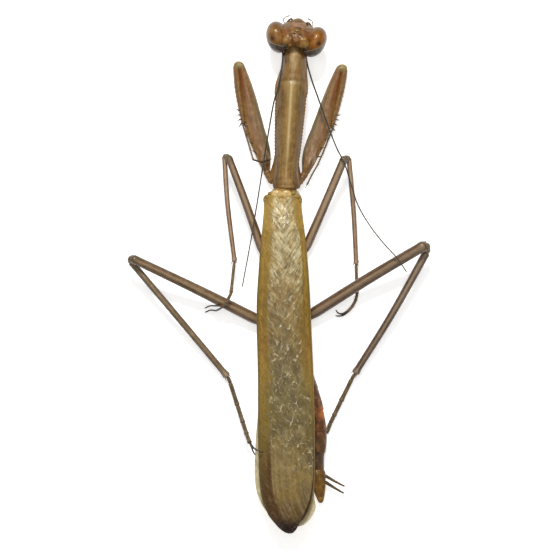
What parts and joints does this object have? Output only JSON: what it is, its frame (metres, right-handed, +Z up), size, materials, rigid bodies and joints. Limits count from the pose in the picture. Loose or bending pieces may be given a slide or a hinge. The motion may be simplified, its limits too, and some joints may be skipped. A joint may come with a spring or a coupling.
{
  "type": "praying mantis",
  "caption": "Life-size still model of a brown winged adult praying mantis lying belly down, wings folded, forelegs spread and legs bent.",
  "frame": {"origin": "on the floor below the middle of the body's outline", "axes": "+Y from the head to the wing tips, +X to the animal's left, +Z up from the floor"},
  "size_m": [0.0502, 0.0862, 0.008],
  "materials": {
    "head_shell": "satin brown shell, finely wrinkled",
    "eye_shell": "glossy amber brown with a dark false pupil",
    "feeler_shell": "dark brown, ringed",
    "prothorax_shell": "satin olive brown with a pale keel",
    "thorax_shell": "satin ochre",
    "foreleg_shell": "satin pinkish brown",
    "leg_shell": "satin grey brown",
    "abdomen_shell": "satin red brown plates",
    "forewing_sheet": "veined, glossy and half clear",
    "hindwing_sheet": "pale, veined and half clear"
  },
  "bodies": {
    "root": {"head": "head_shell", "mouthparts": "head_shell", "eye_left": "eye_shell", "eye_right": "eye_shell", "palp_left": "feeler_shell", "palp_right": "feeler_shell", "antenna_left": "feeler_shell", "antenna_right": "feeler_shell", "neck": "prothorax_shell", "pronotum": "prothorax_shell", "mesothorax": "thorax_shell", "metathorax": "thorax_shell", "fore_coxa_left": "foreleg_shell", "fore_femur_left": "foreleg_shell", "fore_tibia_left": "foreleg_shell", "fore_coxa_right": "foreleg_shell", "fore_femur_right": "foreleg_shell", "fore_tibia_right": "foreleg_shell", "fore_tarsus_left": "leg_shell", "fore_tarsus_right": "leg_shell", "mid_left_coxa": "leg_shell", "mid_left_femur": "leg_shell", "mid_left_tibia": "leg_shell", "mid_left_tarsus": "leg_shell", "mid_right_coxa": "leg_shell", "mid_right_femur": "leg_shell", "mid_right_tibia": "leg_shell", "mid_right_tarsus": "leg_shell", "hind_left_coxa": "leg_shell", "hind_left_femur": "leg_shell", "hind_left_tibia": "leg_shell", "hind_left_tarsus": "leg_shell", "hind_right_coxa": "leg_shell", "hind_right_femur": "leg_shell", "hind_right_tibia": "leg_shell", "hind_right_tarsus": "leg_shell", "abdomen_segment_1": "abdomen_shell", "abdomen_segment_2": "abdomen_shell", "abdomen_segment_3": "abdomen_shell", "abdomen_segment_4": "abdomen_shell", "abdomen_segment_5": "abdomen_shell", "abdomen_segment_6": "abdomen_shell", "abdomen_segment_7": "abdomen_shell", "abdomen_segment_8": "abdomen_shell", "subgenital_plate": "abdomen_shell", "cercus_left": "abdomen_shell", "cercus_right": "abdomen_shell", "forewing_left": "forewing_sheet", "forewing_right": "forewing_sheet", "hindwing_left": "hindwing_sheet", "hindwing_right": "hindwing_sheet"}
  },
  "joints": []
}
